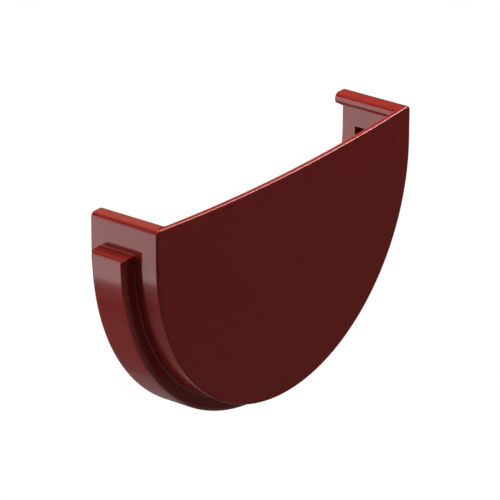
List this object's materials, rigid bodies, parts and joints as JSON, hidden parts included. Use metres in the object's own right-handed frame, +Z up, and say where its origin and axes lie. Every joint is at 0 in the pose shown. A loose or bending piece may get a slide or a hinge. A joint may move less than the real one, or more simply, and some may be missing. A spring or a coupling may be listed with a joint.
{
  "type": "gutter end cap",
  "caption": "Half-round gutter end cap: a dished-top end plate with a skirt, inward lips and a hollow raised band that holds the seal.",
  "frame": {"origin": "centre of the half round, on the inner face of the end plate, where the cut end of the gutter stops", "axes": "+Z up, +Y along the gutter away from the end plate, +X across the gutter"},
  "size_m": [0.1372, 0.025, 0.0801],
  "materials": {
    "moulded_red": "smooth wine-red moulded plastic, semi-gloss"
  },
  "bodies": {
    "root": {"end_cap": "moulded_red"}
  },
  "joints": []
}
